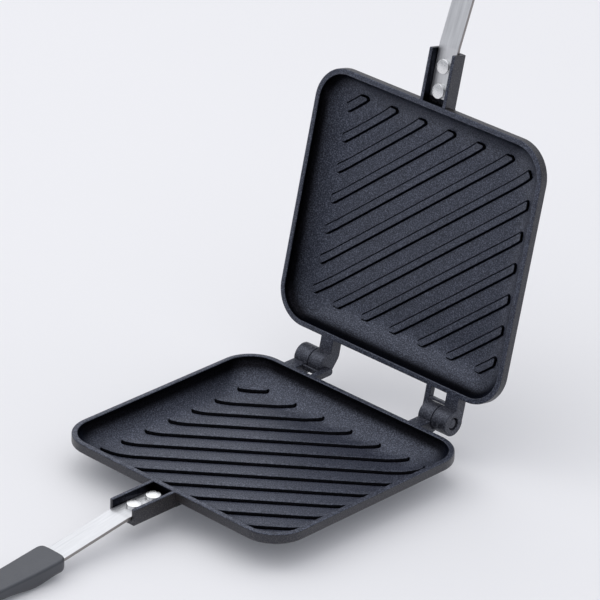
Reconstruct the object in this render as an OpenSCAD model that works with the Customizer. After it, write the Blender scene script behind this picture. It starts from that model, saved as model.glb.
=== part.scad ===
// Hot sandwich press for use over an open flame.
// Two identical cast pans face each other, ribs inwards, and swing on a pair of
// interlocked hinge knuckles at the back. Each pan carries a riveted steel tang
// and a moulded grip. A wire bail at the end of the lower grip holds both grips
// together when the press is shut.
// Drawn open, as it stands on a table. Origin: centre of the flat underside of
// the lower pan. +X to the right along the hinge, -Y towards the grips, +Z up.

/* [Pans] */
// Width of each pan across the hinge, mm
pan_w = 145; // [140:0.5:150]
// Depth of each pan from hinge side to handle side, mm
pan_d = 131.4; // [128:0.2:136]
// Height of each pan from its flat underside to the rim face, mm
pan_h = 18; // [18:0.5:20]
// Corner radius of the rim in plan, mm
corner_r = 18.1; // [17:0.1:19]
// Height of the upright band around the rim, mm
band_h = 4.9; // [4:0.1:6]
// Width of the flat rim face, mm
rim_w = 2.85; // [2.6:0.05:3.0]
// Depth of the cooking floor below the rim face, mm
floor_depth = 12.85; // [12.4:0.05:13.2]

/* [Ribs] */
// Number of ribs on each side of the long middle rib
rib_side = 6; // [4:1:6]
// Distance from rib to rib, measured square to the ribs, mm
rib_pitch = 12; // [11:0.5:12.5]
// Width of a rib, mm
rib_w = 4.4; // [3:0.2:5]
// Height of a rib above the floor, mm
rib_h = 1.3; // [1:0.1:1.6]
// Angle of the ribs from the hinge direction, degrees
rib_angle = 40; // [36:1:46]

/* [Hinge] */
// Distance from the back of the rim to the hinge axis, mm
hinge_gap = 12.8; // [12:0.1:14]
// Radius of the hinge knuckles, mm
knuckle_r = 6.3; // [6:0.1:6.6]
// Radius of the hinge pins, mm
pin_r = 3.10; // [2.8:0.05:3.2]
// Radial play between pin and bore, mm
pin_play = 0.06; // [0.03:0.01:0.09]
// Angle between the pans as drawn, degrees
open_angle = 101.9; // [0:0.1:101.9]

/* [Handles] */
// Width of the steel tang, mm
tang_w = 12; // [10:0.5:12]
// Thickness of the steel tang, mm
tang_t = 1.8; // [1.5:0.1:2]
// Length of a grip, mm
grip_l = 120; // [110:1:130]
// Wire radius of the bail, mm
wire_r = 1.2; // [1:0.1:1.3]
// Reach of the bail from its pivot to the middle of its crossbar, mm
bail_l = 35; // [34.5:0.5:36]

/* [Hidden] */

hw = pan_w / 2;              // half width of a pan
hd = pan_d / 2;              // half depth of a pan
hinge_y = hd + hinge_gap;    // hinge axis, in the rim plane

// Knuckle stations along the hinge, mirrored on the other pan.
a_out = 50;  a_in = 41;      // bored knuckle
b_out = 40.7; b_in = 32.5;   // knuckle that carries the pin
arm_x = 42;                  // inner side of the wide arm
finger_out = 32.2; finger_in = 29;

// Cavity of a pan, from the rim down to the middle of the floor: distance in
// from the outside of the rim, depth below the rim face, plan corner radius.
dish = [[rim_w, 0, corner_r - rim_w], [rim_w + 0.35, 2.2, 15.3], [4.3, 4.6, 15.8], [6.2, 6.9, 16.6],
        [9, 9.1, 17.6], [12.5, floor_depth - 1.75, 18.4], [15.5, floor_depth - 0.65, 18.6],
        [18.5, floor_depth - 0.15, 18.6], [20.5, floor_depth, 18.6]];
// Outside below the band, down to the flat underside.
shell = [[1.4, band_h - 1.5, 17.4], [1.4, band_h + 0.9, 17.4], [17.9, pan_h - 0.7, 19.6], [19.2, pan_h, 19.6]];
tip_x = hw - 12.8;           // where the ribs end
tip_y = hd - 12.3;

// Tang line, seen from the side: y, z of its middle plane below the rim plane.
tang_y0 = -hd - 2.4;         // end inside the bracket
bracket_y = -hd - 26;        // open end of the bracket
tang_z0 = -5.0;
bend1_y = bracket_y - 2.4;
grip_y = -hd - 68.4;         // front face of the grip
tang_z1 = tang_z0 - (bend1_y - grip_y) * tan(8.3);
tang_y2 = grip_y - 72;
tang_z2 = -14.2;
br_hw = 8.1;  br_t = 1.9;    // bracket half width and wall
br_z = -8.4;                 // underside of the bracket
rivet_y = [-hd - 6.1, -hd - 18.3];
rivet_r = 2.0;

// Grip: s is the distance back from its front face.
screw_s = [16, 60];
pivot_s = grip_l - 18;
hang_s = grip_l - 8.5;
pivot_z = -13.2;
stop_lug = 190;              // place of the hinge stop, degrees in the y-z plane
lug_half = 10;
full_open = 101.9;

function arc(cx, cy, r, a0, a1, n) =
    [for (i = [0 : n]) let (a = a0 + (a1 - a0) * i / n) [cx + r * cos(a), cy + r * sin(a)]];

// smooth step from a to b as s goes from s0 to s1
function ease(s, s0, s1, a, b) =
    let (t = max(0, min(1, (s - s0) / (s1 - s0)))) a + (b - a) * (3 - 2 * t) * t * t;

// inner face of the grip, towards the other grip
function grip_in(s) = -7.6 - 0.106 * s + 0.00081 * s * s;
// underside of the grip: rounded nose, finger hump, waist, palm swell, tail
function grip_un(s) =
    s < 3 ? -12.6 - 2.8 * sqrt(1 - pow(1 - s / 3, 2)) :
    s < 19 ? ease(s, 3, 19, -15.4, -17.7) :
    s < 34 ? ease(s, 19, 34, -17.7, -16.7) :
    s < 80 ? ease(s, 34, 80, -16.7, -17.7) :
    s < grip_l - 16 ? -17.7 :
    -17.7 + 6.6 * (1 - sqrt(max(0, 1 - pow((s - grip_l + 16) / 16, 2))));
// half width of the grip
function grip_hw(s) =
    let (w = s < 52 ? ease(s, 0, 52, 8.8, 6.9) : ease(s, 52, grip_l - 20, 6.9, 8.5))
    s < 3 ? w - 3 + sqrt(9 - pow(3 - s, 2)) :
    s > grip_l - 9 ? w * sqrt(max(0, 1 - pow((s - grip_l + 9) / 9, 2))) : w;

// ---------------------------------------------------------------- placing
module lower_place() translate([0, 0, pan_h]) children();
module upper_place()
    translate([0, hinge_y, pan_h]) rotate([-open_angle, 0, 0]) translate([0, -hinge_y, 0])
        rotate([0, 180, 0]) children();
// turns a flat outline into the y-z plane, raised along +X from x0
module yz(x0, len) translate([x0, 0, 0]) rotate([90, 0, 90]) linear_extrude(len) children();

// ---------------------------------------------------------------- casting
// One level of a rounded rectangle that lies i inside the rim outline
function level(i, r, z, n) = [for (q = [0 : 3], k = [0 : n])
    let (a = 90 * q + 90 * k / n, sx = (q == 0 || q == 3) ? 1 : -1, sy = q < 2 ? 1 : -1)
        [sx * (hw - i - r) + r * cos(a), sy * (hd - i - r) + r * sin(a), z]];

// closed solid through levels listed from the bottom up
module stack_levels(lv) {
    m = len(lv[0]);
    polyhedron(points = [for (l = lv) for (p = l) p], faces = concat(
        [[for (k = [0 : m - 1]) k]],
        [for (j = [0 : len(lv) - 2], k = [0 : m - 1])
            [j * m + k, (j + 1) * m + k, (j + 1) * m + (k + 1) % m, j * m + (k + 1) % m]],
        [[for (k = [m - 1 : -1 : 0]) (len(lv) - 1) * m + k]]));
}

module cavity() {
    n = len(dish) - 1;
    stack_levels(concat([for (j = [n : -1 : 0]) level(dish[j][0], dish[j][2], -dish[j][1], 8)],
        [level(dish[0][0], dish[0][2], 3, 8)]));
}

module outside() {
    stack_levels([for (j = [len(shell) - 1 : -1 : 0]) level(shell[j][0], shell[j][2], -shell[j][1], 8)]);
}

// upright band and rim, as a section swept around the rounded rectangle
module band_section() {
    polygon([for (p = concat(arc(0.6, -0.6, 0.6, 90, 180, 6), arc(0.6, -band_h + 0.6, 0.6, 180, 270, 6),
        [[6, -band_h], [6, 0]])) [corner_r - p[0], p[1]]]);
}

// sweeps a section around a rounded rectangle
module ring(w, d, r) {
    for (sx = [0, 1], sy = [0, 1]) mirror([sx, 0, 0]) mirror([0, sy, 0])
        translate([w - r, d - r, 0]) rotate_extrude(angle = 90, $fn = 96) children();
    for (s = [0, 1]) mirror([s, 0, 0]) translate([w - r, 0, 0])
        rotate([90, 0, 0]) linear_extrude(2 * (d - r), center = true) children();
    for (s = [0, 1]) mirror([0, s, 0]) translate([0, d - r, 0])
        rotate([90, 0, 90]) linear_extrude(2 * (w - r), center = true) children();
}

module tip_outline() {
    r = 8;
    square([2 * (tip_x - r), 2 * tip_y], center = true);
    square([2 * tip_x, 2 * (tip_y - r)], center = true);
    for (x = [-1, 1], y = [-1, 1]) translate([x * (tip_x - r), y * (tip_y - r)]) circle(r, $fn = 48);
}

// ribs follow the floor and rise with it near their ends
module ribs() {
    difference() {
        translate([0, 0, -floor_depth - 0.15]) linear_extrude(8) intersection() {
            tip_outline();
            for (k = [-rib_side : rib_side]) rotate(rib_angle) translate([0, k * rib_pitch])
                square([2 * pan_w, rib_w], center = true);
        }
        translate([0, 0, rib_h]) cavity();
    }
}

module bracket() {
    y0 = -hd + 6.5;
    // floor of the channel and its two walls
    difference() {
        translate([-br_hw, bracket_y, br_z]) cube([2 * br_hw, y0 - bracket_y, -br_z]);
        translate([-br_hw + br_t, bracket_y - 1, tang_z0 - tang_t / 2])
            cube([2 * (br_hw - br_t), -hd - bracket_y + 1, 10]);
        for (y = rivet_y) translate([0, y, br_z - 1]) cylinder(r = rivet_r + 0.05, h = 6, $fn = 48);
    }
}

module knuckle_arm(thick) {
    // arm in the y-z plane, flush with the rim face
    polygon([[hd - 1.5, 0], [hinge_y - 5, 0], [hinge_y - 5, -2.6], [hinge_y, -2.6],
             [hinge_y, -knuckle_r], [hinge_y - 4.3, -thick], [hd - 4.2, -thick], [hd - 3.4, -4]]);
}

module casting() {
    difference() {
        union() {
            difference() {
                union() {
                    ring(hw, hd, corner_r) band_section();
                    outside();
                    bracket();
                }
                cavity();
            }
            ribs();
            // bored knuckle and its wide arm
            yz(-a_out, a_out - arm_x) knuckle_arm(knuckle_r);
            translate([-a_out, hinge_y, 0]) rotate([0, 90, 0]) cylinder(r = knuckle_r, h = a_out - a_in, $fn = 96);
            // guard finger beside the mating knuckle
            yz(-finger_out, finger_out - finger_in)
                polygon(concat([[hd - 1.5, -3.6], [hd - 1.5, 0]],
                    arc(hinge_y - 1.8, -1.4, 1.4, 90, 0, 6), arc(hinge_y - 2.2, -1.8, 1.8, 0, -90, 6)));
            // bar from the finger to the wide arm, in front of the mating knuckle
            translate([-arm_x - 0.5, hinge_y - 7.9, -3]) cube([arm_x - finger_out + 1, 1.25, 2.65]);
            // knuckle with the pin, flattened on its underside
            difference() {
                union() {
                    yz(b_in, b_out - b_in) knuckle_arm(7);
                    translate([b_in, hinge_y, 0]) rotate([0, 90, 0]) cylinder(r = knuckle_r, h = b_out - b_in, $fn = 96);
                }
                translate([0, hinge_y, 0]) rotate([-62, 0, 0]) translate([b_in - 1, 4.2, -12])
                    cube([b_out - b_in + 2, 10, 24]);
                // groove for the stop of the other pan
                translate([b_out - 1.4, hinge_y, 0]) rotate([90, 0, 90])
                    rotate([0, 0, -(stop_lug - 360 + lug_half + full_open + 0.4)])
                    rotate_extrude(angle = full_open + 2 * lug_half + 5.4, $fn = 96)
                    translate([3.7, 0]) square([1.6, 2]);
            }
            translate([b_out - 0.5, hinge_y, 0]) rotate([0, 90, 0]) cylinder(r = pin_r, h = 7.8, $fn = 96);
            // thinner end of the pin, off centre
            translate([b_out + 7, hinge_y - 0.56, 0.21]) rotate([0, 90, 0]) cylinder(r = 2.45, h = 1.9, $fn = 72);
            // stop on the inner face of the bored knuckle
            translate([-a_in - 0.2, hinge_y, 0]) rotate([90, 0, 90]) rotate([0, 0, stop_lug - lug_half])
                rotate_extrude(angle = 2 * lug_half, $fn = 96) translate([4.0, 0]) square([1.0, 1.3]);
        }
        translate([-a_out - 1, hinge_y, 0]) rotate([0, 90, 0])
            cylinder(r = pin_r + pin_play, h = a_out - a_in + 3, $fn = 96);
    }
}

// ---------------------------------------------------------------- handle
// Side view of the strip, grown by g all round
module tang_side(g) {
    t = tang_t / 2 + g;
    polygon([[tang_y0 + g, tang_z0 + t], [bend1_y, tang_z0 + t], [grip_y, tang_z1 + t],
             [tang_y2 - g, tang_z2 + t], [tang_y2 - g, tang_z2 - t], [grip_y, tang_z1 - t],
             [bend1_y, tang_z0 - t], [tang_y0 + g, tang_z0 - t]]);
}

function tang_mid(s) = tang_z1 + (tang_z2 - tang_z1) * s / 72;

module tang() {
    difference() {
        yz(-tang_w / 2, tang_w) tang_side(0);
        for (y = rivet_y) translate([0, y, -8]) cylinder(r = rivet_r + 0.05, h = 6, $fn = 48);
        for (s = screw_s) translate([0, grip_y - s, tang_mid(s) - 3]) cylinder(r = 1.8, h = 6, $fn = 48);
    }
}

module rivet(i) {
    translate([0, rivet_y[i], 0]) {
        // button head on the strip, upright at its edge and slightly domed
        translate([0, 0, tang_z0 + tang_t / 2]) rotate_extrude($fn = 64)
            polygon(concat([[0, 0], [3.65, 0]], [for (a = [0 : 10 : 90]) [3.35 + 0.35 * cos(a), 1.6 + 0.3 * sin(a)]],
                [for (i = [1 : 6]) [3.35 * (1 - i / 6), 1.9 + 0.4 * (1 - pow(1 - i / 6, 2))]]));
        translate([0, 0, br_z - 0.4]) cylinder(r = rivet_r, h = tang_z0 + tang_t / 2 - br_z + 0.8, $fn = 48);
        // tail set against the underside of the bracket
        translate([0, 0, br_z - 1.3]) cylinder(r1 = 2.8, r2 = 3.4, h = 1.3, $fn = 64);
    }
}

module grip(pivot) {
    n = 60;
    difference() {
        intersection() {
            yz(-10, 20) polygon(concat(
                [for (i = [0 : n]) [grip_y - grip_l * i / n, grip_in(grip_l * i / n)]],
                [for (i = [n : -1 : 0]) [grip_y - grip_l * i / n, grip_un(grip_l * i / n)]],
                [[grip_y, grip_un(0)]]));
            translate([0, 0, -20]) linear_extrude(18) polygon(concat(
                [for (i = [0 : 2 * n - 1]) [grip_hw(grip_l * i / 2 / n), grip_y - grip_l * i / 2 / n]],
                [[0, grip_y - grip_l]],
                [for (i = [2 * n - 1 : -1 : 0]) [-grip_hw(grip_l * i / 2 / n), grip_y - grip_l * i / 2 / n]]));
        }
        // pocket for the tang
        yz(-tang_w / 2 - 0.05, tang_w + 0.1) tang_side(0.05);
        // screw holes from the underside, with seats for the heads
        for (s = screw_s) {
            translate([0, grip_y - s, -20]) cylinder(r = 2.1, h = 20 + tang_mid(s), $fn = 48);
            translate([0, grip_y - s, -20]) cylinder(r = 3.8, h = 20 - 15.5, $fn = 48);
        }
        // blind room for the screw tips above the tang
        for (s = screw_s) translate([0, grip_y - s, tang_mid(s)]) cylinder(r = 2.1, h = 1.6, $fn = 48);
        // bail pivot and hanging hole
        if (pivot) translate([-12, grip_y - pivot_s, pivot_z]) rotate([0, 90, 0]) cylinder(r = wire_r + 0.08, h = 24, $fn = 48);
        translate([0, grip_y - hang_s, -20]) cylinder(r = 2.6, h = 20, $fn = 64);
    }
}

module grip_screw(i) {
    s = screw_s[i];
    translate([0, grip_y - s, 0]) difference() {
        union() {
            translate([0, 0, -17.1]) cylinder(r1 = 3.1, r2 = 3.5, h = 0.5, $fn = 64);
            translate([0, 0, -16.6]) cylinder(r = 3.5, h = 1.1, $fn = 64);
            translate([0, 0, -15.6]) cylinder(r = 1.75, h = 16.3 + tang_mid(s), $fn = 48);
        }
        // cross recess
        for (a = [0, 90]) rotate(a) translate([-1.9, -0.35, -18]) cube([3.8, 0.7, 1.9]);
    }
}

// ---------------------------------------------------------------- bail
module wire(len) rotate([0, 90, 0]) cylinder(r = wire_r, h = len, $fn = 48);

module bail_shape() {
    x = 10.6; r1 = 1.7; r2 = 3;
    for (s = [0, 1]) mirror([s, 0, 0]) {
        translate([4.5, 0, 0]) wire(x - r1 - 4.5);
        translate([x - r1, -r1, 0]) rotate_extrude(angle = 90, $fn = 64) translate([r1, 0]) circle(wire_r, $fn = 48);
        translate([x, -r1, 0]) rotate([90, 0, 0]) cylinder(r = wire_r, h = bail_l - r1 - r2, $fn = 48);
        translate([x - r2, -bail_l + r2, 0]) rotate([0, 0, -90]) rotate_extrude(angle = 90, $fn = 64)
            translate([r2, 0]) circle(wire_r, $fn = 48);
    }
    translate([-x + r2, -bail_l, 0]) wire(2 * (x - r2));
}

// ---------------------------------------------------------------- pieces
module lower_pan() color([0.13, 0.14, 0.16]) lower_place() casting();
module upper_pan() color([0.13, 0.14, 0.16]) upper_place() casting();
module lower_tang() color([0.78, 0.79, 0.81]) lower_place() tang();
module upper_tang() color([0.78, 0.79, 0.81]) upper_place() tang();
module lower_rivet_rear() color([0.88, 0.88, 0.87]) lower_place() rivet(0);
module lower_rivet_front() color([0.88, 0.88, 0.87]) lower_place() rivet(1);
module upper_rivet_rear() color([0.88, 0.88, 0.87]) upper_place() rivet(0);
module upper_rivet_front() color([0.88, 0.88, 0.87]) upper_place() rivet(1);
module lower_grip() color([0.24, 0.26, 0.29]) lower_place() grip(true);
module upper_grip() color([0.24, 0.26, 0.29]) upper_place() grip(false);
module lower_grip_screw_front() color([0.8, 0.8, 0.8]) lower_place() grip_screw(0);
module lower_grip_screw_rear() color([0.8, 0.8, 0.8]) lower_place() grip_screw(1);
module upper_grip_screw_front() color([0.8, 0.8, 0.8]) upper_place() grip_screw(0);
module upper_grip_screw_rear() color([0.8, 0.8, 0.8]) upper_place() grip_screw(1);
// the bail lies back from its pivot with the crossbar resting on the table
module bail() color([0.8, 0.8, 0.81])
    translate([0, grip_y - pivot_s, pan_h + pivot_z])
        rotate([asin((pan_h + pivot_z - wire_r - 0.05) / bail_l), 0, 0]) bail_shape();

lower_pan();
lower_tang();
lower_rivet_rear();
lower_rivet_front();
lower_grip();
lower_grip_screw_front();
lower_grip_screw_rear();
upper_pan();
upper_tang();
upper_rivet_rear();
upper_rivet_front();
upper_grip();
upper_grip_screw_front();
upper_grip_screw_rear();
bail();
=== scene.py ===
import math

import bmesh
import bpy
import numpy as np
from mathutils import Matrix, Vector


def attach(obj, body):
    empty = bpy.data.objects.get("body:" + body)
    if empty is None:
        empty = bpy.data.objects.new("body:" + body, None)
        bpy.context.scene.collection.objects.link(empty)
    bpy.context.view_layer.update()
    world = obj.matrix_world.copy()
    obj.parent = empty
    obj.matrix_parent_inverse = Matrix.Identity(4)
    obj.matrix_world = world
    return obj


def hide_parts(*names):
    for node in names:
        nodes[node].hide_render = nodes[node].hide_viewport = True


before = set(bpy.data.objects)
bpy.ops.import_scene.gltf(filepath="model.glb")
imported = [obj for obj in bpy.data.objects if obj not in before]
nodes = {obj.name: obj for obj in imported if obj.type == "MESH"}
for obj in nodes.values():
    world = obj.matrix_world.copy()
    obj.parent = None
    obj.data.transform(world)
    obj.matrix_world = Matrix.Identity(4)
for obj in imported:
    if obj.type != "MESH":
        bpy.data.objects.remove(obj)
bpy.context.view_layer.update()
MM = 0.001

# ---------------------------------------------------------------- dimensions, mm
HW, HD, PAN_H = 72.5, 65.7, 18.0
CR = 18.1
HINGE_Y = HD + 12.8
OPEN = 101.9
BAND = 4.9
RIB_PITCH, RIB_W, RIB_H, RIB_A = 12.0, 4.4, 1.4, 40.0   # width at the foot
TIP_X, TIP_Y, TIP_R = HW - 12.8, HD - 12.3, 8.0
# cavity: distance in from the rim, depth, corner radius
DISH = [(2.85, 0.0, 15.2), (3.2, 2.2, 15.3), (4.3, 4.6, 15.8), (6.2, 6.9, 16.6), (9.0, 9.1, 17.6),
        (12.5, 11.1, 18.4), (15.5, 12.2, 18.6), (18.5, 12.7, 18.6), (20.5, 12.85, 18.6)]
A_OUT, A_IN, B_OUT, B_IN, ARM_X = 50.0, 41.0, 40.7, 32.5, 42.0
FINGER = (29.0, 32.2)
KNUCKLE_R, PIN_R, BORE_R = 6.3, 3.10, 3.16
BR_HW, BR_T, BR_Z, BRACKET_Y = 8.1, 1.9, -8.4, -HD - 26
TANG_T, TANG_W, TANG_Y0, TANG_Z0 = 1.8, 12.0, -HD - 2.4, -5.0
BEND1_Y, GRIP_Y = BRACKET_Y - 2.4, -HD - 68.4
TANG_Z1 = TANG_Z0 - (BEND1_Y - GRIP_Y) * math.tan(math.radians(8.3))
TANG_Y2, TANG_Z2 = GRIP_Y - 72, -14.2
RIVET_Y = (-HD - 6.1, -HD - 18.3)
GRIP_L, SCREW_S, PIVOT_Z, WIRE_R, BAIL_L = 120.0, (16.0, 60.0), -13.2, 1.2, 35.0
PIVOT_S, HANG_S = GRIP_L - 18, GRIP_L - 8.5


# ---------------------------------------------------------------- placing
LOWER = Matrix.Translation((0, 0, PAN_H))
UPPER = (Matrix.Translation((0, HINGE_Y, PAN_H)) @ Matrix.Rotation(math.radians(-OPEN), 4, "X")
         @ Matrix.Translation((0, -HINGE_Y, 0)) @ Matrix.Rotation(math.pi, 4, "Y"))


# ---------------------------------------------------------------- mesh helpers
def arc(cx, cy, r, a0, a1, n):
    out = []
    for i in range(n + 1):
        a = math.radians(a0 + (a1 - a0) * i / n)
        out.append((cx + r * math.cos(a), cy + r * math.sin(a)))
    return out


def rrect(hw, hd, r, n=24, sub=10):
    """Closed loop around a rounded rectangle, the same number of points for every inset."""
    pts = []
    corners = [(hw - r, hd - r, 0), (-hw + r, hd - r, 90), (-hw + r, -hd + r, 180), (hw - r, -hd + r, 270)]
    for i, (cx, cy, a) in enumerate(corners):
        c = arc(cx, cy, r, a, a + 90, n)
        pts += c
        nx, ny, na = corners[(i + 1) % 4]
        e = (nx + r * math.cos(math.radians(na)), ny + r * math.sin(math.radians(na)))
        for k in range(1, sub):
            t = k / sub
            pts.append((c[-1][0] * (1 - t) + e[0] * t, c[-1][1] * (1 - t) + e[1] * t))
    return pts


def loft(bm, loops, close=True, cap0=True, cap1=True):
    """Joins loops of equal length with quads; every loop is a list of 3-D points."""
    rings = [[bm.verts.new(p) for p in lp] for lp in loops]
    n = len(rings[0])
    for a, b in zip(rings, rings[1:]):
        for i in range(n if close else n - 1):
            j = (i + 1) % n
            bm.faces.new((a[i], a[j], b[j], b[i]))
    if cap0:
        bm.faces.new(list(reversed(rings[0])))
    if cap1:
        bm.faces.new(rings[-1])
    return rings


def finish_bm(bm, name, mat, place=None, smooth_angle=38.0):
    bmesh.ops.remove_doubles(bm, verts=bm.verts, dist=1e-5)
    bmesh.ops.recalc_face_normals(bm, faces=bm.faces)
    me = bpy.data.meshes.new(name)
    bm.to_mesh(me)
    bm.free()
    me.transform((place or Matrix.Identity(4)))
    me.transform(Matrix.Scale(MM, 4))
    ob = bpy.data.objects.new(name, me)
    bpy.context.scene.collection.objects.link(ob)
    me.materials.append(mat)
    me.shade_smooth()
    me.set_sharp_from_angle(angle=math.radians(smooth_angle))
    return ob


def union(base, others):
    """Exact union of solids into the first one."""
    for o in others:
        m = base.modifiers.new("u", "BOOLEAN")
        m.operation, m.solver, m.object = "UNION", "EXACT", o
    dg = bpy.context.evaluated_depsgraph_get()
    me = bpy.data.meshes.new_from_object(base.evaluated_get(dg))
    base.modifiers.clear()
    base.data = me
    for o in others:
        bpy.data.objects.remove(o)
    return base


# ---------------------------------------------------------------- materials
def new_mat(name, build):
    m = bpy.data.materials.new(name)
    m.use_nodes = True
    nt = m.node_tree
    nt.nodes.clear()
    out = nt.nodes.new("ShaderNodeOutputMaterial")
    bs = nt.nodes.new("ShaderNodeBsdfPrincipled")
    nt.links.new(bs.outputs[0], out.inputs[0])
    build(nt, bs)
    return m


def N(nt, kind, **kw):
    n = nt.nodes.new(kind)
    for k, v in kw.items():
        if k.startswith("i_"):
            key = k[2:].replace("_", " ")
            n.inputs[key].default_value = v
        else:
            setattr(n, k, v)
    return n


def ramp(nt, fac, stops, interp="LINEAR"):
    r = nt.nodes.new("ShaderNodeValToRGB")
    r.color_ramp.interpolation = interp
    el = r.color_ramp.elements
    while len(el) < len(stops):
        el.new(0.5)
    for e, (p, c) in zip(el, stops):
        e.position = p
        e.color = (*c, 1) if len(c) == 3 else c
    nt.links.new(fac, r.inputs[0])
    return r.outputs[0]


def grey(v):
    return (v, v, v)


def mix(nt, fac, a, b, blend="MIX"):
    """Colour mix; fac, a and b are sockets or constants."""
    m = nt.nodes.new("ShaderNodeMixRGB")
    m.blend_type = blend
    for k, v in enumerate((fac, a, b)):
        if isinstance(v, bpy.types.NodeSocket):
            nt.links.new(v, m.inputs[k])
        elif k == 0:
            m.inputs[0].default_value = v
        else:
            m.inputs[k].default_value = (*v, 1)
    return m.outputs[0]


def coating(nt, bs):
    """Dark non-stick coating: sprayed glossy grain inside the pan, lighter and browner outside; painted shade makes
    the steep wall under the rim, the channel's inside and the rib sides near black.
    """
    geo = nt.nodes.new("ShaderNodeTexCoord")
    zone = N(nt, "ShaderNodeAttribute", attribute_name="zone").outputs["Fac"]
    fine = N(nt, "ShaderNodeTexNoise", i_Scale=1750.0, i_Detail=1.0, i_Roughness=0.5)
    mid = N(nt, "ShaderNodeTexNoise", i_Scale=640.0, i_Detail=2.0, i_Roughness=0.5)
    big = N(nt, "ShaderNodeTexNoise", i_Scale=38.0, i_Detail=3.0, i_Roughness=0.5)
    for n in (fine, mid, big):
        nt.links.new(geo.outputs["Object"], n.inputs["Vector"])
    inner = ramp(nt, fine.outputs["Fac"], [(0.36, (0.0060, 0.0066, 0.0110)), (0.47, (0.0180, 0.0205, 0.0330)),
                                           (0.56, (0.0430, 0.0485, 0.0700)), (0.68, (0.105, 0.115, 0.150))])
    outer = ramp(nt, fine.outputs["Fac"], [(0.36, (0.0060, 0.0048, 0.0042)), (0.47, (0.0150, 0.0124, 0.0110)),
                                           (0.56, (0.0300, 0.0255, 0.0225)), (0.68, (0.066, 0.059, 0.053))])
    base = mix(nt, zone, outer, inner)
    tone = ramp(nt, big.outputs["Fac"], [(0.3, grey(0.84)), (0.7, grey(1.0))])
    # painted shade: the steep wall under the rim, the inside of the handle channel and the rib sides with their fine
    # groove get a near-black, fully metallic colour in place of the shade that falls there
    both = N(nt, "ShaderNodeMath", operation="MAXIMUM")
    nt.links.new(N(nt, "ShaderNodeAttribute", attribute_name="wall").outputs["Fac"], both.inputs[0])
    nt.links.new(N(nt, "ShaderNodeAttribute", attribute_name="side").outputs["Fac"], both.inputs[1])
    wall = both.outputs[0]
    painted_shade_color = ramp(nt, fine.outputs["Fac"], [(0.40, (0.0045, 0.0045, 0.0055)), (0.65, (0.011, 0.011, 0.014))])
    nt.links.new(mix(nt, wall, mix(nt, 1.0, base, tone, "MULTIPLY"), painted_shade_color), bs.inputs["Base Color"])
    nt.links.new(wall, bs.inputs["Metallic"])
    rin = ramp(nt, fine.outputs["Fac"], [(0.38, grey(0.46)), (0.62, grey(0.30))])
    rout = ramp(nt, mid.outputs["Fac"], [(0.3, grey(0.32)), (0.7, grey(0.42))])
    nt.links.new(mix(nt, zone, rout, rin), bs.inputs["Roughness"])
    h = mix(nt, zone, grey(0.40), grey(1.0))
    height = mix(nt, 1.0, fine.outputs["Fac"], h, "MULTIPLY")
    b1 = N(nt, "ShaderNodeBump", i_Strength=1.0, i_Distance=0.00016)
    nt.links.new(height, b1.inputs["Height"])
    b2 = N(nt, "ShaderNodeBump", i_Strength=0.22, i_Distance=0.00018)
    nt.links.new(mid.outputs["Fac"], b2.inputs["Height"])
    nt.links.new(b1.outputs["Normal"], b2.inputs["Normal"])
    nt.links.new(b2.outputs["Normal"], bs.inputs["Normal"])
    bs.inputs["Specular IOR Level"].default_value = 0.65
    bs.inputs["Specular Tint"].default_value = (0.76, 0.82, 1.0, 1.0)


def brushed(nt, bs, col=(0.62, 0.63, 0.64), lo=0.26, hi=0.40, metal=1.0, stretch=(1, 1, 1), scale=700.0, bump=0.00002, edge=None):
    geo = nt.nodes.new("ShaderNodeTexCoord")
    mp = nt.nodes.new("ShaderNodeMapping")
    mp.inputs["Scale"].default_value = stretch
    nt.links.new(geo.outputs["Object"], mp.inputs["Vector"])
    n1 = N(nt, "ShaderNodeTexNoise", i_Scale=scale, i_Detail=4.0, i_Roughness=0.65)
    nt.links.new(mp.outputs[0], n1.inputs["Vector"])
    n2 = N(nt, "ShaderNodeTexNoise", i_Scale=60.0, i_Detail=2.0)
    nt.links.new(geo.outputs["Object"], n2.inputs["Vector"])
    c = ramp(nt, n1.outputs["Fac"], [(0.3, tuple(x * 0.88 for x in col)), (0.7, tuple(min(1, x * 1.08) for x in col))])
    if edge:
        sep = nt.nodes.new("ShaderNodeSeparateXYZ")
        nt.links.new(geo.outputs["Normal"], sep.inputs[0])
        side = N(nt, "ShaderNodeMath", operation="ABSOLUTE")
        nt.links.new(sep.outputs["X"], side.inputs[0])
        c = mix(nt, ramp(nt, side.outputs[0], [(0.55, grey(0.0)), (0.9, grey(1.0))]), c, edge)
    nt.links.new(c, bs.inputs["Base Color"])
    r = ramp(nt, n1.outputs["Fac"], [(0.3, grey(lo)), (0.7, grey(hi))])
    nt.links.new(r, bs.inputs["Roughness"])
    b = N(nt, "ShaderNodeBump", i_Strength=0.4, i_Distance=bump)
    nt.links.new(n1.outputs["Fac"], b.inputs["Height"])
    b2 = N(nt, "ShaderNodeBump", i_Strength=0.15, i_Distance=0.0001)
    nt.links.new(n2.outputs["Fac"], b2.inputs["Height"])
    nt.links.new(b.outputs["Normal"], b2.inputs["Normal"])
    nt.links.new(b2.outputs["Normal"], bs.inputs["Normal"])
    bs.inputs["Metallic"].default_value = metal


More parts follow.
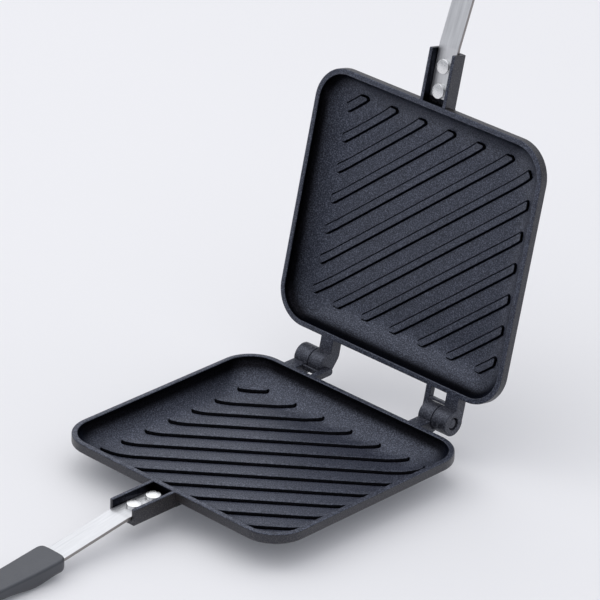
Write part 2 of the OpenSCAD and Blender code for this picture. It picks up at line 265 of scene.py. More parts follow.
def phenolic(nt, bs):
    """Moulded heat-resistant plastic: satin, faint mottling and texture."""
    geo = nt.nodes.new("ShaderNodeTexCoord")
    n1 = N(nt, "ShaderNodeTexNoise", i_Scale=900.0, i_Detail=3.0)
    n2 = N(nt, "ShaderNodeTexNoise", i_Scale=110.0, i_Detail=3.0)
    for n in (n1, n2):
        nt.links.new(geo.outputs["Object"], n.inputs["Vector"])
    c = ramp(nt, n2.outputs["Fac"], [(0.3, (0.013, 0.013, 0.014)), (0.7, (0.020, 0.020, 0.022))])
    nt.links.new(c, bs.inputs["Base Color"])
    r = ramp(nt, n1.outputs["Fac"], [(0.3, grey(0.30)), (0.7, grey(0.38))])
    nt.links.new(r, bs.inputs["Roughness"])
    b = N(nt, "ShaderNodeBump", i_Strength=0.35, i_Distance=0.00008)
    nt.links.new(n1.outputs["Fac"], b.inputs["Height"])
    nt.links.new(b.outputs["Normal"], bs.inputs["Normal"])
    bs.inputs["Specular IOR Level"].default_value = 1.0
    bs.inputs["Specular Tint"].default_value = (0.86, 0.90, 1.0, 1.0)


M_PAN = new_mat("pan_coating", coating)
M_STRIP = new_mat("strip_steel", lambda nt, bs: brushed(nt, bs, (0.72, 0.725, 0.735), 0.34, 0.48, stretch=(1, 0.06, 0.06), edge=(0.30, 0.28, 0.27)))
M_RIVET = new_mat("rivet_metal", lambda nt, bs: brushed(nt, bs, (0.80, 0.80, 0.80), 0.20, 0.34, scale=500.0))
M_SCREW = new_mat("screw_steel", lambda nt, bs: brushed(nt, bs, (0.62, 0.62, 0.61), 0.25, 0.38))
M_WIRE = new_mat("bail_wire", lambda nt, bs: brushed(nt, bs, (0.72, 0.72, 0.73), 0.14, 0.24, scale=300.0))
M_GRIP = new_mat("grip_plastic", phenolic)


# ---------------------------------------------------------------- outlines and solids
def bez(p0, p1, p2, n=5):
    out = []
    for i in range(n + 1):
        u = i / n
        out.append(tuple((1 - u) ** 2 * a + 2 * u * (1 - u) * b + u * u * c for a, b, c in zip(p0, p1, p2)))
    return out


def catmull(pts, n=5):
    """Smooth curve through points of any dimension."""
    out = []
    for i in range(len(pts) - 1):
        p0, p1, p2, p3 = pts[max(i - 1, 0)], pts[i], pts[i + 1], pts[min(i + 2, len(pts) - 1)]
        for k in range(n):
            t = k / n
            out.append(tuple(0.5 * (2 * b + (c - a) * t + (2 * a - 5 * b + 4 * c - d) * t * t
                                    + (3 * b - a - 3 * c + d) * t ** 3) for a, b, c, d in zip(p0, p1, p2, p3)))
    out.append(tuple(pts[-1]))
    return out


DISH_C = catmull(DISH, 5)
DI = np.array([p[0] for p in DISH_C])
DD = np.array([p[1] for p in DISH_C])
DR = np.array([p[2] for p in DISH_C])


def dish_depth(x, y):
    """Depth of the cavity's surface below the rim face at a point of the plan."""
    lo, hi = 0.0, float(len(DI) - 1)
    idx = np.arange(len(DI))

    def sd(t):
        i, r = np.interp(t, idx, DI), np.interp(t, idx, DR)
        qx, qy = abs(x) - (HW - i - r), abs(y) - (HD - i - r)
        return math.hypot(max(qx, 0), max(qy, 0)) + min(max(qx, qy), 0) - r
    if sd(hi) <= 0:
        return float(DD[-1])
    for _ in range(26):
        m = (lo + hi) / 2
        if sd(m) > 0:
            hi = m
        else:
            lo = m
    return float(np.interp((lo + hi) / 2, idx, DD))


def level(i, z, r):
    return [(x, y, z) for x, y in rrect(HW - i, HD - i, r, 20, 12)]


def pan_levels():
    """From the underside, up the outside, over the rim and down to the cooking floor."""
    pr = bez((20.4, -18.0, 19.6), (19.0, -18.0, 19.6), (17.6, -17.09, 19.5), 5)
    for k in range(1, 8):
        t = k / 8
        pr.append((17.6 + (1.75 - 17.6) * t, -17.09 + (-6.05 + 17.09) * t, 19.5 + (17.5 - 19.5) * t))
    pr += [(1.75, -6.05, 17.5), (1.45, -5.75, 17.4), (1.38, -5.4, 17.4), (1.16, -5.04, 17.35), (0.85, -4.92, 17.3)]
    pr += [(i, z, CR - i) for i, z in arc(0.6, -BAND + 0.6, 0.6, 270, 180, 5)]
    pr += [(0.0, -BAND + 0.7, CR), (0.0, -0.85, CR)]
    pr += [(i, z, CR - i) for i, z in arc(0.75, -0.75, 0.75, 180, 90, 7)]
    pr += [(0.82, 0.0, CR - 0.82), (2.15, 0.0, CR - 2.15)]
    pr += [(i, z, CR - i) for i, z in [(p[0], p[1]) for p in bez((2.2, 0.0), (2.88, 0.0), (2.98, -0.85), 6)]]
    pr += [(i, -d, r) for i, d, r in DISH_C if d > 1.2]
    return pr


def clip(poly, a, b, c):
    """Keeps the part of a convex polygon where a*x + b*y <= c."""
    out = []
    for i in range(len(poly)):
        p, q = poly[i], poly[(i + 1) % len(poly)]
        dp, dq = a * p[0] + b * p[1] - c, a * q[0] + b * q[1] - c
        if dp <= 0:
            out.append(p)
        if (dp < 0 < dq) or (dq < 0 < dp):
            t = dp / (dp - dq)
            out.append((p[0] + (q[0] - p[0]) * t, p[1] + (q[1] - p[1]) * t))
    return out


def rib_core(k, e):
    """Strip k clipped to the outline of the rib tips, eroded by e."""
    a = math.radians(RIB_A)
    nx, ny = -math.sin(a), math.cos(a)
    L = 200.0
    poly = [(-L, -L), (L, -L), (L, L), (-L, L)]
    poly = clip(poly, nx, ny, k * RIB_PITCH + RIB_W / 2 - e)
    poly = clip(poly, -nx, -ny, -(k * RIB_PITCH - RIB_W / 2) - e)
    for s in range(0, 360, 90):
        poly = clip(poly, math.cos(math.radians(s)), math.sin(math.radians(s)), (TIP_X if s % 180 == 0 else TIP_Y) - e)
    for qx, qy, q0 in ((1, 1, 0), (-1, 1, 90), (-1, -1, 180), (1, -1, 270)):
        cx, cy = qx * (TIP_X - TIP_R), qy * (TIP_Y - TIP_R)
        for t in range(10, 90, 10):
            w = math.radians(q0 + t)
            ux, uy = math.cos(w), math.sin(w)
            poly = clip(poly, ux, uy, cx * ux + cy * uy + TIP_R - e)
    # near-equal points would give slivers
    out = []
    for p in poly:
        if not out or math.hypot(p[0] - out[-1][0], p[1] - out[-1][1]) > 0.05:
            out.append(p)
    if math.hypot(out[0][0] - out[-1][0], out[0][1] - out[-1][1]) <= 0.05:
        out.pop()
    return out


def rib_mesh(k, groove=False):
    """One rib with rounded tips and edges that lies on the dish of the cavity, or the fine groove around its foot."""
    e = 1.35
    core = rib_core(k, e)
    n = len(core)
    normals = []
    for i in range(n):
        p, q = core[i], core[(i + 1) % n]
        normals.append(math.atan2(-(q[0] - p[0]), q[1] - p[1]))

    def ring(rho, z):
        out = []
        for i in range(n):
            a0, a1 = normals[i - 1], normals[i]
            while a1 < a0:
                a1 += 2 * math.pi
            m = max(1, int(round(math.degrees(a1 - a0) / 15)))
            for s in range(m + 1):
                w = a0 + (a1 - a0) * s / m
                out.append((core[i][0] + rho * math.cos(w), core[i][1] + rho * math.sin(w), z))
        return out

    t = RIB_H
    if groove:
        loops = [ring(e + 0.02, -0.40), ring(e + 0.16, -0.32), ring(e + 0.30, 0.0), ring(e + 0.42, 0.4)]
    else:
        loops = [ring(e, -0.60), ring(e, 0.0)] + [ring(e - 0.52 * q, (t - 0.22) * q) for q in (0.5, 1.0)]
        loops += [ring(e - 0.58, t - 0.10), ring(e - 0.67, t - 0.03), ring(e - 0.80, t)]
    bm = bmesh.new()
    loft(bm, loops)
    # cross cuts where the dish is curved
    ax, ay = math.cos(math.radians(RIB_A)), math.sin(math.radians(RIB_A))
    nx, ny = -ay, ax
    us = [p[0] * ax + p[1] * ay for p in core]
    u = min(us) - 1.5
    cuts = []
    while u < max(us) + 1.5:
        x, y = u * ax + k * RIB_PITCH * nx, u * ay + k * RIB_PITCH * ny
        curved = abs(x) > HW - 24 or abs(y) > HD - 24 or dish_depth(x, y) < DD[-1] - 0.01
        cuts.append(u)
        u += 1.4 if curved else 9.0
    for c in cuts:
        bmesh.ops.bisect_plane(bm, geom=bm.verts[:] + bm.edges[:] + bm.faces[:], dist=1e-4,
                               plane_co=(c * ax, c * ay, 0), plane_no=(ax, ay, 0))
    for o in (-0.8, 0.8):
        d = k * RIB_PITCH + o
        bmesh.ops.bisect_plane(bm, geom=bm.verts[:] + bm.edges[:] + bm.faces[:], dist=1e-4,
                               plane_co=(d * nx, d * ny, 0), plane_no=(nx, ny, 0))
    for v in bm.verts:
        v.co.z += -dish_depth(v.co.x, v.co.y)
    bmesh.ops.triangulate(bm, faces=[f for f in bm.faces if len(f.verts) > 4])
    return bm


def area2(poly):
    return sum(p[0] * q[1] - q[0] * p[1] for p, q in zip(poly, poly[1:] + poly[:1]))


def outline(poly, radii, d, seg=5):
    """Counter-clockwise outline moved inward by d, its corners rounded with true arcs."""
    n = len(poly)
    P = [Vector(p) for p in poly]
    E = [(P[(i + 1) % n] - P[i]).normalized() for i in range(n)]
    C = []
    for i in range(n):
        e0, e1 = E[i - 1], E[i]
        n0, n1 = Vector((-e0.y, e0.x)), Vector((-e1.y, e1.x))
        m = n0 + n1
        C.append(P[i] + m * (d / max(0.2, 1 + n0.dot(n1))))
    out = []
    for i in range(n):
        r, e0, e1 = radii[i], E[i - 1], E[i]
        turn = e0.x * e1.y - e0.y * e1.x
        if r <= 0 or abs(turn) < 0.03:
            out.append(tuple(C[i]))
            continue
        rr = max(r - d, 0.05) if turn > 0 else r + d
        ang = math.acos(max(-1, min(1, e0.dot(e1))))
        t = min(rr * math.tan(ang / 2), 0.46 * (C[i] - C[i - 1]).length, 0.46 * (C[(i + 1) % n] - C[i]).length)
        rr = t / math.tan(ang / 2)
        s = 1 if turn > 0 else -1
        centre = C[i] - e0 * t + Vector((-e0.y, e0.x)) * (s * rr)
        v = C[i] - e0 * t - centre
        for k in range(seg + 1):
            w = s * ang * k / seg
            out.append((centre.x + v.x * math.cos(w) - v.y * math.sin(w), centre.y + v.x * math.sin(w) + v.y * math.cos(w)))
    return out


def extrude_x(bm, poly, x0, x1, r=0.45, seg=4, radii=0.0, r1=None, cseg=5):
    """Outline in the y-z plane raised along x; the two end edges are rounded with r and r1."""
    radii = list(radii) if isinstance(radii, (list, tuple)) else [radii] * len(poly)
    if area2(poly) < 0:
        poly, radii = poly[::-1], radii[::-1]
    r1 = r if r1 is None else r1
    # from the most drawn-in ring at the very end to the full outline
    steps = [(x0 + r * (1 - math.cos(math.radians(90 * s / seg))), r * (1 - math.sin(math.radians(90 * s / seg)))) for s in range(seg + 1)]
    steps += [(x1 - r1 * (1 - math.cos(math.radians(90 * s / seg))), r1 * (1 - math.sin(math.radians(90 * s / seg))))
              for s in range(seg, -1, -1)]
    loft(bm, [[(x, y, z) for y, z in outline(poly, radii, d, cseg)] for x, d in steps])


def solid(bm, name="tmp"):
    """Closed working solid in the pan's own frame, in mm."""
    bmesh.ops.remove_doubles(bm, verts=bm.verts, dist=1e-4)
    bmesh.ops.recalc_face_normals(bm, faces=bm.faces)
    me = bpy.data.meshes.new(name)
    bm.to_mesh(me)
    bm.free()
    ob = bpy.data.objects.new(name, me)
    bpy.context.scene.collection.objects.link(ob)
    return ob


def carve(base, adds=(), cuts=()):
    """Exact union with the first list, then difference with the second."""
    for o in adds:
        m = base.modifiers.new("u", "BOOLEAN")
        m.operation, m.solver, m.object = "UNION", "EXACT", o
    for o in cuts:
        m = base.modifiers.new("d", "BOOLEAN")
        m.operation, m.solver, m.object = "DIFFERENCE", "EXACT", o
    dg = bpy.context.evaluated_depsgraph_get()
    me = bpy.data.meshes.new_from_object(base.evaluated_get(dg))
    for o in list(adds) + list(cuts) + [base]:
        bpy.data.objects.remove(o)
    return me


def place(me, name, mat, matrix, angle=36.0):
    """Puts a mesh that was made in the pan's frame where it belongs, in metres."""
    me = me.copy()
    me.name = name
    me.transform(matrix)
    me.transform(Matrix.Scale(MM, 4))
    me.materials.clear()
    me.materials.append(mat)
    me.shade_smooth()
    me.set_sharp_from_angle(angle=math.radians(angle))
    ob = bpy.data.objects.new(name, me)
    bpy.context.scene.collection.objects.link(ob)
    m = ob.modifiers.new("normals", "WEIGHTED_NORMAL")
    m.keep_sharp = True
    m.weight = 60
    return ob


def heal(me):
    """Merges coincident points and fills the hair-thin triangles that an exact union can drop."""
    bm = bmesh.new()
    bm.from_mesh(me)
    bmesh.ops.remove_doubles(bm, verts=bm.verts, dist=2e-4)
    edge = [e for e in bm.edges if len(e.link_faces) == 1]
    if edge:
        bmesh.ops.holes_fill(bm, edges=edge, sides=6)
    bmesh.ops.recalc_face_normals(bm, faces=bm.faces)
    bm.to_mesh(me)
    bm.free()
    return me


def swap_axes(bm, m):
    """Turns a solid raised along x into one raised along another axis."""
    bmesh.ops.transform(bm, matrix=m, verts=bm.verts)
    return bm


ALONG_Y = Matrix(((0, 1, 0, 0), (1, 0, 0, 0), (0, 0, 1, 0), (0, 0, 0, 1)))   # (x, y) swapped: outline in x-z, raised along y
ALONG_Z = Matrix(((0, 1, 0, 0), (0, 0, 1, 0), (1, 0, 0, 0), (0, 0, 0, 1)))   # outline in x-y, raised along z


def lathe_x(profile, cy, cz, seg=72, y_dir=None):
    """Solid of revolution about a line along x; profile is (x, radius) from end to end."""
    bm = bmesh.new()
    rings = []
    for x, r in profile:
        if r < 1e-6:
            rings.append([bm.verts.new((x, cy, cz))])
        else:
            rings.append([bm.verts.new((x, cy + r * math.cos(2 * math.pi * i / seg), cz + r * math.sin(2 * math.pi * i / seg)))
                          for i in range(seg)])
    for a, b in zip(rings, rings[1:]):
        for i in range(seg):
            j = (i + 1) % seg
            if len(a) == 1:
                bm.faces.new((a[0], b[j], b[i]))
            elif len(b) == 1:
                bm.faces.new((a[i], a[j], b[0]))
            else:
                bm.faces.new((a[i], a[j], b[j], b[i]))
    return bm


def tube_x(profile, cy, cz, seg=72):
    """Ring about a line along x from a closed (x, radius) outline."""
    bm = bmesh.new()
    rings = [[bm.verts.new((x, cy + r * math.cos(2 * math.pi * i / seg), cz + r * math.sin(2 * math.pi * i / seg)))
              for i in range(seg)] for x, r in profile]
    for a, b in zip(rings, rings[1:] + rings[:1]):
        for i in range(seg):
            j = (i + 1) % seg
            bm.faces.new((a[i], a[j], b[j], b[i]))
    return bm


def lathe_z(profile, cx, cy, seg=64):
    bm = lathe_x([(z, r) for z, r in profile], cx, cy, seg)
    return swap_axes(bm, ALONG_Z)


def round_rod(x0, x1, r, e=0.4, n=4):
    """Profile of a rod with rounded ends."""
    pr = [(x0, 0)]
    pr += [(x0 + e - e * math.cos(math.radians(90 * i / n)), r - e + e * math.sin(math.radians(90 * i / n))) for i in range(n + 1)]
    pr += [(x0 + e + 0.05, r), (x1 - e - 0.05, r)]
    pr += [(x1 - e + e * math.sin(math.radians(90 * i / n)), r - e + e * math.cos(math.radians(90 * i / n))) for i in range(n + 1)]
    return pr + [(x1, 0)]


def arm_solid(thick, x0, x1, name):
    # the arm ends inside the knuckle's wall, clear of its bore
    poly = [(HD - 1.5, -0.02), (HINGE_Y - 5, -0.02), (HINGE_Y - 5, -2.6), (HINGE_Y - 4.6, -2.6), (HINGE_Y - 3.3, -4.6),
            (HINGE_Y - 0.9, -4.9), (HINGE_Y - 0.9, -6.17), (HINGE_Y - 4.3, -thick + 0.05), (HD - 4.2, -thick + 0.05), (HD - 3.4, -4)]
    bm = bmesh.new()
    extrude_x(bm, poly, x0, x1, r=0.45, radii=[0, 0.2, 0, 0, 0, 0, 0, 0, 0, 0])
    return solid(bm, name)


def make_casting():
    bm = bmesh.new()
    loft(bm, [level(i, z, r) for i, z, r in pan_levels()])
    body = solid(bm, "casting")
    both = []
    for groove in (True, False):
        ribs = bmesh.new()
        for k in range(-6, 7):
            one = rib_mesh(k, groove)
            me = bpy.data.meshes.new("rib")
            one.to_mesh(me)
            one.free()
            ribs.from_mesh(me)
            bpy.data.meshes.remove(me)
        both.append(solid(ribs, "ribs"))
    grooves = both[0]
    adds = [both[1]]
    grooved = bpy.data.objects.new("casting", carve(body, [], [grooves]))
    bpy.context.scene.collection.objects.link(grooved)
    body = grooved
    # channel that holds the handle strip: floor with rounded edges and two walls
    w, t, z = BR_HW, BR_T, BR_Z
    u = [(-w, -0.02), (-w, z), (w, z), (w, -0.02), (w - t, -0.02), (w - t, TANG_Z0 - TANG_T / 2), (-w + t, TANG_Z0 - TANG_T / 2),
         (-w + t, -0.02)]
    bm = bmesh.new()
    extrude_x(bm, u, BRACKET_Y, -HD + 2.0, r=0.4, seg=4, radii=[0.5, 0.8, 0.8, 0.5, 0.45, 0.3, 0.3, 0.45], r1=0.2)
    adds.append(solid(swap_axes(bm, ALONG_Y), "channel"))
    bm = bmesh.new()
    extrude_x(bm, [(-HD + 0.8, -6.0), (-HD + 3.2, -6.0), (-HD + 5.5, -7.3), (-HD + 6.5, z + 0.06), (-HD + 0.8, z + 0.06)],
              -w + 0.07, w - 0.07, r=0.15)
    adds.append(solid(bm, "channel_root"))
    # bored knuckle on its wide arm
    adds.append(arm_solid(6.3, -A_OUT + 0.04, -ARM_X, "arm_a"))
    ring = outline([(-A_OUT, BORE_R), (-A_IN, BORE_R), (-A_IN, KNUCKLE_R), (-A_OUT, KNUCKLE_R)], [0.3, 0.25, 0.5, 0.5], 0.0, 5)
    adds.append(solid(tube_x(ring, HINGE_Y, 0), "knuckle_a"))
    # guard finger
    bm = bmesh.new()
    extrude_x(bm, [(HD - 1.5, -3.6), (HD - 1.5, -0.02), (HINGE_Y - 0.4, -0.02), (HINGE_Y - 0.4, -3.6)], -FINGER[1], -FINGER[0],
              r=0.5, radii=[0, 0, 1.4, 1.8])
    adds.append(solid(bm, "finger"))
    # bar from the finger to the wide arm, in front of the mating knuckle
    bm = bmesh.new()
    extrude_x(bm, [(HINGE_Y - 7.9, -3.0), (HINGE_Y - 6.65, -3.0), (HINGE_Y - 6.65, -0.35), (HINGE_Y - 7.9, -0.35)], -ARM_X - 0.6, -FINGER[1] + 0.5,
              r=0.12, radii=[0.3, 0.3, 0.3, 0.3])
    adds.append(solid(bm, "bar"))
    # knuckle with the pin, flat on its underside
    adds.append(arm_solid(7.0, B_IN + 0.03, B_OUT - 0.04, "arm_b"))
    adds.append(solid(lathe_x(round_rod(B_IN, B_OUT, KNUCKLE_R, 0.5), HINGE_Y, 0), "knuckle_b"))
    bm = bmesh.new()
    q = [(4.2, -12), (14, -12), (14, 12), (4.2, 12)]
    c, s = math.cos(math.radians(-62)), math.sin(math.radians(-62))
    extrude_x(bm, [(HINGE_Y + a * c - b * s, a * s + b * c) for a, b in q], B_IN - 3, B_OUT + 3, r=0.2)
    flat = solid(bm, "flat")
    pin = solid(lathe_x(round_rod(B_OUT - 1.5, B_OUT + 7.3, PIN_R, 0.45), HINGE_Y, 0), "pin")
    holes = [solid(lathe_z([(BR_Z - 3, 0), (BR_Z - 3, 2.05), (-3, 2.05), (-3, 0)], 0, y), "hole") for y in RIVET_Y]
    me = carve(body, adds, [flat] + holes)
    # the pin is added last, because the flat must not cut it
    base = bpy.data.objects.new("casting", me)
    bpy.context.scene.collection.objects.link(base)
    end = solid(lathe_x(round_rod(B_OUT + 6.8, B_OUT + 8.9, 2.45, 0.3), HINGE_Y - 0.56, 0.21), "pin_end")
    return heal(carve(base, [pin, end]))


# ---------------------------------------------------------------- handle
def tang_poly(g=0.0):
    """Side view of the strip, grown by g all round."""
    t = TANG_T / 2 + g
    return [(TANG_Y0 + g, TANG_Z0 + t), (BEND1_Y, TANG_Z0 + t), (GRIP_Y, TANG_Z1 + t), (TANG_Y2 - g, TANG_Z2 + t),
            (TANG_Y2 - g, TANG_Z2 - t), (GRIP_Y, TANG_Z1 - t), (BEND1_Y, TANG_Z0 - t), (TANG_Y0 + g, TANG_Z0 - t)]


def tang_mid(s):
    return TANG_Z1 + (TANG_Z2 - TANG_Z1) * s / 72


def cylinder_z(y, z0, z1, r, seg=48):
    return solid(lathe_z([(z0, 0), (z0, r), (z1, r), (z1, 0)], 0, y, seg), "hole")


def make_tang():
    bm = bmesh.new()
    extrude_x(bm, tang_poly(), -TANG_W / 2, TANG_W / 2, r=0.32, seg=4, radii=[0.3, 9.0, 0, 0.3, 0.3, 0, 7.2, 0.3], cseg=8)
    base = solid(bm, "tang")
    cuts = [cylinder_z(y, -9, -2, 2.05) for y in RIVET_Y] + [cylinder_z(GRIP_Y - s, tang_mid(s) - 3, tang_mid(s) + 3, 1.8) for s in SCREW_S]
    return heal(carve(base, [], cuts))


def make_rivet():
    """Button head on the strip, shank, and tail set against the channel's underside; centred on its own axis."""
    z = TANG_Z0 + TANG_T / 2
    pr = [(BR_Z - 1.3, 0), (BR_Z - 1.3, 2.45), (BR_Z - 1.22, 2.7), (BR_Z - 1.05, 2.86), (BR_Z - 0.25, 3.3), (BR_Z - 0.06, 3.34),
          (BR_Z, 3.28), (BR_Z, 2.0), (z, 2.0), (z, 3.50), (z + 0.06, 3.62), (z + 0.2, 3.65), (z + 1.55, 3.68)]
    pr += [(z + 1.6 + 0.3 * math.sin(math.radians(a)), 3.33 + 0.35 * math.cos(math.radians(a))) for a in range(0, 81, 16)]
    pr += [(z + 1.9 + 0.4 * (1 - t * t), 3.33 * t) for t in (1.0, 0.85, 0.7, 0.5, 0.34, 0.17)] + [(z + 2.3, 0)]
    return lathe_z(pr, 0, 0, 64)


def ease(s, s0, s1, a, b):
    t = max(0.0, min(1.0, (s - s0) / (s1 - s0)))
    return a + (b - a) * (3 - 2 * t) * t * t


def grip_in(s):
    return -7.6 - 0.106 * s + 0.00081 * s * s


def grip_un(s):
    if s < 3:
        return -12.6 - 2.8 * math.sqrt(1 - (1 - s / 3) ** 2)
    if s < 19:
        return ease(s, 3, 19, -15.4, -17.7)
    if s < 34:
        return ease(s, 19, 34, -17.7, -16.7)
    if s < 80:
        return ease(s, 34, 80, -16.7, -17.68)
    if s < GRIP_L - 16:
        return -17.68
    return -17.68 + 6.58 * (1 - math.sqrt(max(0, 1 - ((s - GRIP_L + 16) / 16) ** 2)))


def grip_hw(s):
    w = ease(s, 0, 52, 8.8, 6.9) if s < 52 else ease(s, 52, GRIP_L - 20, 6.9, 8.5)
    if s < 3:
        return w - 3 + math.sqrt(9 - (3 - s) ** 2)
    if s > GRIP_L - 9:
        return w * math.sqrt(max(0, 1 - ((s - GRIP_L + 9) / 9) ** 2))
    return w


def make_grip(pivot):
    L = GRIP_L
    st = [0.0, 0.12, 0.35, 0.7, 1.2, 1.8, 2.5, 3.2, 4.2, 5.5, 7] + [9 + 2.2 * i for i in range(42)]
    st = [s for s in st if s < L - 17] + [L - 16 + 1.0 * i for i in range(8)]
    st += [L - 8 + 8 * math.sin(math.radians(a)) for a in (6, 13, 20, 27, 34, 41, 48, 55, 62, 69, 75, 80, 84)]
    loops = []
    for s in st:
        w, zi, zu = grip_hw(s), grip_in(s), grip_un(s)
        d = 0.55 * (1 - math.sqrt(1 - (1 - s / 0.7) ** 2)) if s < 0.7 else 0.0
        e = 1.3
        if s > L - e - 0.6:      # rounds the edge of the tail
            d = e * (1 - math.sqrt(max(0.0, 1 - ((s - L + e + 0.6) / (e + 0.62)) ** 2))) * 0.8
        zi -= d
        zu += d
        w = max(w - (d if s < 1 else 0), 0.35)
        rt, rb = min(1.5, w * 0.8), min(2.6, w * 0.8)
        h = zi - zu
        crown = 0.22 * min(1.0, w / 6)
        poly = [(-w, zi - crown), (-w, zu), (w, zu), (w, zi - crown), (w * 0.45, zi), (-w * 0.45, zi)]
        lp = outline(poly, [min(rt, h * 0.4), min(rb, h * 0.45), min(rb, h * 0.45), min(rt, h * 0.4), 0, 0], 0.0, 7)
        loops.append([(x, GRIP_Y - s, z) for x, z in lp])
    bm = bmesh.new()
    loft(bm, loops)
    base = solid(bm, "grip")
    cuts = []
    bm = bmesh.new()
    extrude_x(bm, tang_poly(0.05), -TANG_W / 2 - 0.05, TANG_W / 2 + 0.05, r=0.1, seg=1)
    cuts.append(solid(bm, "pocket"))
    for s in SCREW_S:
        y, u = GRIP_Y - s, grip_un(s)
        cuts.append(cylinder_z(y, -22, tang_mid(s) + 1.6, 2.1))
        cuts.append(solid(lathe_z([(-22, 0), (-22, 4.3), (u + 0.02, 4.2), (u + 0.3, 3.86), (u + 0.5, 3.8), (-15.5, 3.8), (-15.5, 0)], 0, y), "seat"))
    y = GRIP_Y - HANG_S
    zi, zu = grip_in(HANG_S), grip_un(HANG_S)
    flare = [(-22, 0), (-22, 3.5), (zu - 0.1, 3.4), (zu + 0.12, 2.98), (zu + 0.35, 2.72), (zu + 0.7, 2.6), (zi - 0.7, 2.6),
             (zi - 0.35, 2.72), (zi - 0.12, 2.98), (zi + 0.1, 3.4), (-2, 3.5), (-2, 0)]
    cuts.append(solid(lathe_z(flare, 0, y, 56), "hang"))
    if pivot:
        r = WIRE_R + 0.08
        cuts.append(solid(lathe_x([(-14, 0), (-14, r), (14, r), (14, 0)], GRIP_Y - PIVOT_S, PIVOT_Z, 40), "pivot"))
    return heal(carve(base, [], cuts))


def make_screw(s):
    y, m = GRIP_Y - s, tang_mid(s)
    pr = [(-17.1, 0), (-17.1, 2.6), (-17.02, 2.95), (-16.8, 3.3), (-16.5, 3.5), (-15.62, 3.5), (-15.5, 3.42), (-15.5, 1.75),
          (m + 0.4, 1.75), (m + 0.7, 1.4), (m + 0.7, 0)]
    base = solid(lathe_z(pr, 0, y, 56), "screw")
    cuts = []
    for a in (0, 90):
        bm = bmesh.new()
        q = [(-1.9, -18), (1.9, -18), (1.9, -16.35), (0.95, -16.1), (-0.95, -16.1), (-1.9, -16.35)]
        extrude_x(bm, q, -0.35, 0.35, r=0.02, seg=1)
        bmesh.ops.transform(bm, matrix=Matrix.Translation((0, y, 0)) @ Matrix.Rotation(math.radians(a), 4, "Z"), verts=bm.verts)
        cuts.append(solid(bm, "slot"))
    return heal(carve(base, [], cuts))


def make_bail():
    """One bent wire: two ends turned in, two legs and a crossbar."""
    x, r1, r2, L = 10.6, 1.7, 3.0, BAIL_L
    side = [(4.62, 0.0)] + [(4.8 + (x - r1 - 4.8) * i / 3, 0.0) for i in range(4)]
    side += arc(x - r1, -r1, r1, 90, 0, 10)[1:]
    side += [(x, -r1 + (-L + r2 + r1) * i / 6) for i in range(1, 7)]
    side += arc(x - r2, -L + r2, r2, 0, -90, 12)[1:]
    side += [((x - r2) * (1 - i / 4), -L) for i in range(1, 5)]
    path = side + [(-px, py) for px, py in reversed(side[:-1])]
    n, seg = len(path), 24
    loops = []
    for i, (px, py) in enumerate(path):
        a, b = path[max(i - 1, 0)], path[min(i + 1, n - 1)]
        t = Vector((b[0] - a[0], b[1] - a[1])).normalized()
        nx, ny = -t.y, t.x
        loops.append([(px + nx * WIRE_R * math.cos(w), py + ny * WIRE_R * math.cos(w), WIRE_R * math.sin(w))
                      for w in (2 * math.pi * k / seg for k in range(seg))])
    # slightly rounded wire ends
    e0 = [(4.5, p[1] * 0.88, p[2] * 0.88) for p in loops[0]]
    e1 = [(-4.5, p[1] * 0.88, p[2] * 0.88) for p in loops[-1]]
    bm = bmesh.new()
    loft(bm, [e0] + loops + [e1])
    bmesh.ops.recalc_face_normals(bm, faces=bm.faces)
    me = bpy.data.meshes.new("bail")
    bm.to_mesh(me)
    bm.free()
    return me


def put(me, name, node, body, mat, matrix, angle=36.0):
    piece = place(me, name, mat, matrix, angle)
    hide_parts(node)
    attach(piece, body)
    return piece


def shade_fade(d):
    """How far the painted shade on the wall reaches down: full under the rim, gone where the floor levels out."""
    pts = ((0.0, 1.0), (4.4, 1.0), (7.2, 0.36), (11.0, 0.0), (20.0, 0.0))
    for (a, u), (b, v) in zip(pts, pts[1:]):
        if d <= b:
            return u + (v - u) * (d - a) / (b - a)
    return 0.0


def mark_zone(me):
    """zone: 1 inside the pan, 0 on the rim and outside. The second mark is painted shade: 1 on the steep wall under
    the rim and inside the channel, where shade falls.
    """
    zone, wall = [], []
    for v in me.vertices:
        x, y, z = v.co
        qx, qy = abs(x) - (HW - CR), abs(y) - (HD - CR)
        inset = CR - math.hypot(max(qx, 0), max(qy, 0)) - min(max(qx, qy), 0)
        dish = inset > 2.65 and z < -0.35 and -z < 5.2 + (inset - 1.4) / 1.434
        dish = dish and (z > -5.0 or z + dish_depth(x, y) > -1.2)
        channel = abs(x) < BR_HW - BR_T + 0.1 and BRACKET_Y < y < -HD + 0.3 and -6.3 < z < -0.4
        zone.append(1.0 if dish or channel or z > -0.3 and y < HD + 0.3 else 0.55 if y > HD + 0.3 else 0.0)
        # painted shade: full inside the channel, fading down the steep wall under the rim
        wall.append(1.0 if channel else shade_fade(-z) if dish else 0.0)
    for name, vals in (("zone", zone), ("wall", wall)):
        me.attributes.new(name, "FLOAT", "POINT").data.foreach_set("value", vals)
    # painted shade: the side faces of the ribs and the fine groove around them, marked to be painted near black like
    # the shade in the creases
    side = []
    for p in me.polygons:
        x, y, z = p.center
        d = 0.0
        if abs(x) < TIP_X + 0.7 and abs(y) < TIP_Y + 0.7 and -14.5 < z < -6.0:
            q = dish_depth(x, y)
            h = z + q
            n = Vector((dish_depth(x + 0.1, y) - q, dish_depth(x, y + 0.1) - q, 0.1)).normalized()
            if -0.6 < h < RIB_H - 0.1 and n.dot(p.normal) < 0.86:
                d = 1.0
        side.append(d)
    me.attributes.new("side", "FLOAT", "FACE").data.foreach_set("value", side)
    return me


